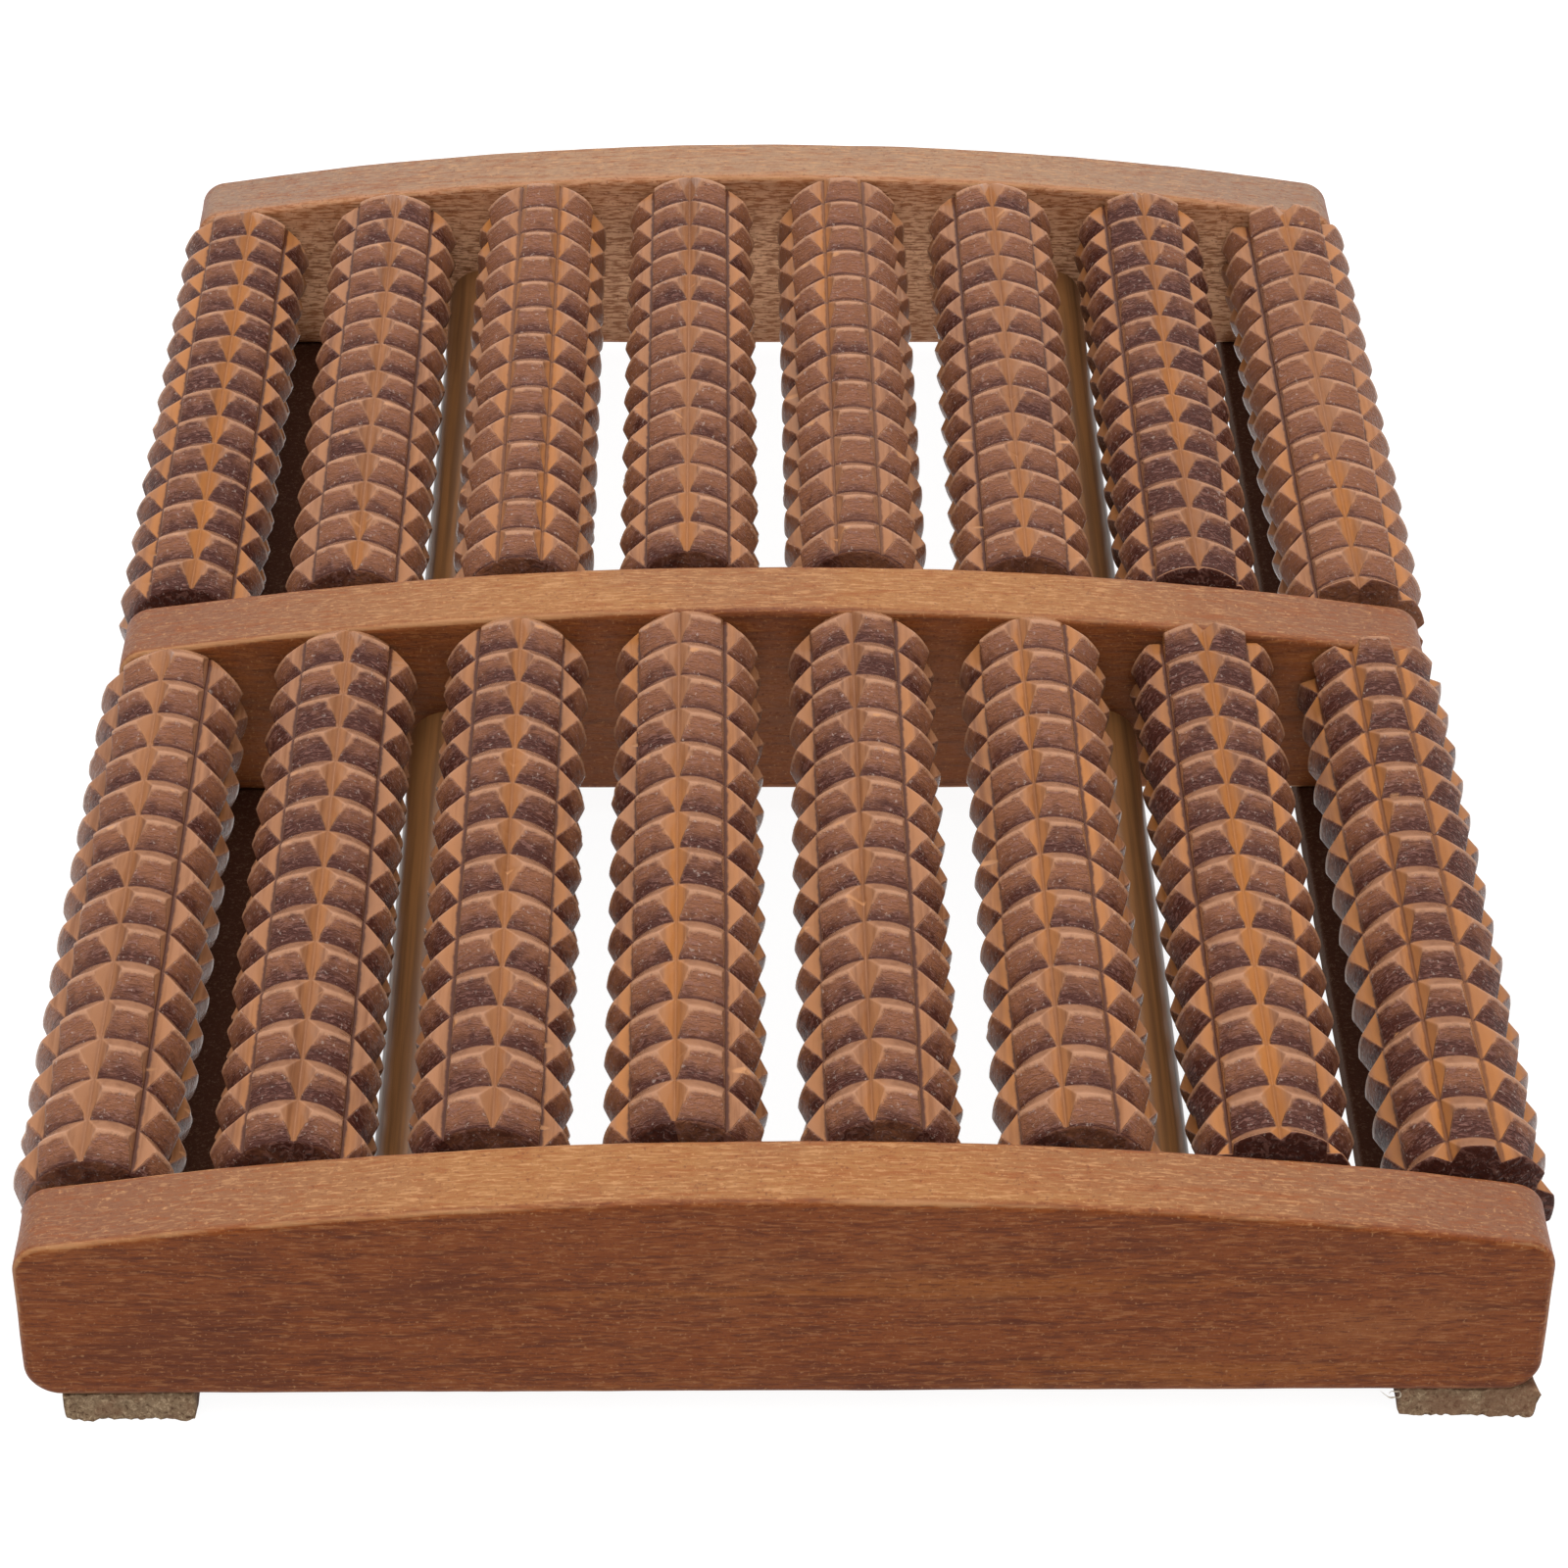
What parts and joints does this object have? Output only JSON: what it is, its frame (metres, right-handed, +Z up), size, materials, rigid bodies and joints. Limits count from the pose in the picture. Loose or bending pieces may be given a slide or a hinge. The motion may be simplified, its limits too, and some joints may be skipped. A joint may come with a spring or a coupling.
{
  "type": "foot massage roller",
  "caption": "Wooden foot massager: arched cross boards on flat runners carry rows of toothed wooden rollers that spin freely under the soles.",
  "frame": {"origin": "on the ground under the middle of the object", "axes": "+X along the cross boards to the right, +Y from the front board to the back board, +Z up"},
  "size_m": [0.2095, 0.285, 0.0425],
  "materials": {
    "stained_board": "stained and lacquered, satin",
    "fibreboard": "stained fibreboard strip with raw cut edges, matt",
    "tie_dowel": "stained dowel, satin",
    "rod_steel": "drawn steel rod",
    "stained_roller": "stained and lacquered, glossy end grain"
  },
  "bodies": {
    "frame": {"front_board": "stained_board", "middle_board": "stained_board", "back_board": "stained_board", "left_runner": "fibreboard", "right_runner": "fibreboard", "left_tie_dowel": "tie_dowel", "right_tie_dowel": "tie_dowel", "axle_rod_1": "rod_steel", "axle_rod_2": "rod_steel", "axle_rod_3": "rod_steel", "axle_rod_4": "rod_steel", "axle_rod_5": "rod_steel", "axle_rod_6": "rod_steel", "axle_rod_7": "rod_steel", "axle_rod_8": "rod_steel"},
    "front_turning_1": {"front_roller_1": "stained_roller"},
    "front_turning_2": {"front_roller_2": "stained_roller"},
    "front_turning_3": {"front_roller_3": "stained_roller"},
    "front_turning_4": {"front_roller_4": "stained_roller"},
    "front_turning_5": {"front_roller_5": "stained_roller"},
    "front_turning_6": {"front_roller_6": "stained_roller"},
    "front_turning_7": {"front_roller_7": "stained_roller"},
    "front_turning_8": {"front_roller_8": "stained_roller"},
    "back_turning_1": {"back_roller_1": "stained_roller"},
    "back_turning_2": {"back_roller_2": "stained_roller"},
    "back_turning_3": {"back_roller_3": "stained_roller"},
    "back_turning_4": {"back_roller_4": "stained_roller"},
    "back_turning_5": {"back_roller_5": "stained_roller"},
    "back_turning_6": {"back_roller_6": "stained_roller"},
    "back_turning_7": {"back_roller_7": "stained_roller"},
    "back_turning_8": {"back_roller_8": "stained_roller"}
  },
  "joints": [
    {"name": "front_roller_1_spin", "type": "hinge", "parent": "frame", "child": "front_turning_1", "pos_m": [-0.09345, -0.06675, 0.02406], "axis": [0, 1, 0], "continuous": true},
    {"name": "front_roller_2_spin", "type": "hinge", "parent": "frame", "child": "front_turning_2", "pos_m": [-0.06675, -0.06675, 0.02757], "axis": [0, 1, 0], "continuous": true},
    {"name": "front_roller_3_spin", "type": "hinge", "parent": "frame", "child": "front_turning_3", "pos_m": [-0.04005, -0.06675, 0.02989], "axis": [0, 1, 0], "continuous": true},
    {"name": "front_roller_4_spin", "type": "hinge", "parent": "frame", "child": "front_turning_4", "pos_m": [-0.01335, -0.06675, 0.03106], "axis": [0, 1, 0], "continuous": true},
    {"name": "front_roller_5_spin", "type": "hinge", "parent": "frame", "child": "front_turning_5", "pos_m": [0.01335, -0.06675, 0.03106], "axis": [0, 1, 0], "continuous": true},
    {"name": "front_roller_6_spin", "type": "hinge", "parent": "frame", "child": "front_turning_6", "pos_m": [0.04005, -0.06675, 0.02989], "axis": [0, 1, 0], "continuous": true},
    {"name": "front_roller_7_spin", "type": "hinge", "parent": "frame", "child": "front_turning_7", "pos_m": [0.06675, -0.06675, 0.02757], "axis": [0, 1, 0], "continuous": true},
    {"name": "front_roller_8_spin", "type": "hinge", "parent": "frame", "child": "front_turning_8", "pos_m": [0.09345, -0.06675, 0.02406], "axis": [0, 1, 0], "continuous": true},
    {"name": "back_roller_1_spin", "type": "hinge", "parent": "frame", "child": "back_turning_1", "pos_m": [-0.09345, 0.06925, 0.02406], "axis": [0, 1, 0], "continuous": true},
    {"name": "back_roller_2_spin", "type": "hinge", "parent": "frame", "child": "back_turning_2", "pos_m": [-0.06675, 0.06925, 0.02757], "axis": [0, 1, 0], "continuous": true},
    {"name": "back_roller_3_spin", "type": "hinge", "parent": "frame", "child": "back_turning_3", "pos_m": [-0.04005, 0.06925, 0.02989], "axis": [0, 1, 0], "continuous": true},
    {"name": "back_roller_4_spin", "type": "hinge", "parent": "frame", "child": "back_turning_4", "pos_m": [-0.01335, 0.06925, 0.03106], "axis": [0, 1, 0], "continuous": true},
    {"name": "back_roller_5_spin", "type": "hinge", "parent": "frame", "child": "back_turning_5", "pos_m": [0.01335, 0.06925, 0.03106], "axis": [0, 1, 0], "continuous": true},
    {"name": "back_roller_6_spin", "type": "hinge", "parent": "frame", "child": "back_turning_6", "pos_m": [0.04005, 0.06925, 0.02989], "axis": [0, 1, 0], "continuous": true},
    {"name": "back_roller_7_spin", "type": "hinge", "parent": "frame", "child": "back_turning_7", "pos_m": [0.06675, 0.06925, 0.02757], "axis": [0, 1, 0], "continuous": true},
    {"name": "back_roller_8_spin", "type": "hinge", "parent": "frame", "child": "back_turning_8", "pos_m": [0.09345, 0.06925, 0.02406], "axis": [0, 1, 0], "continuous": true}
  ]
}
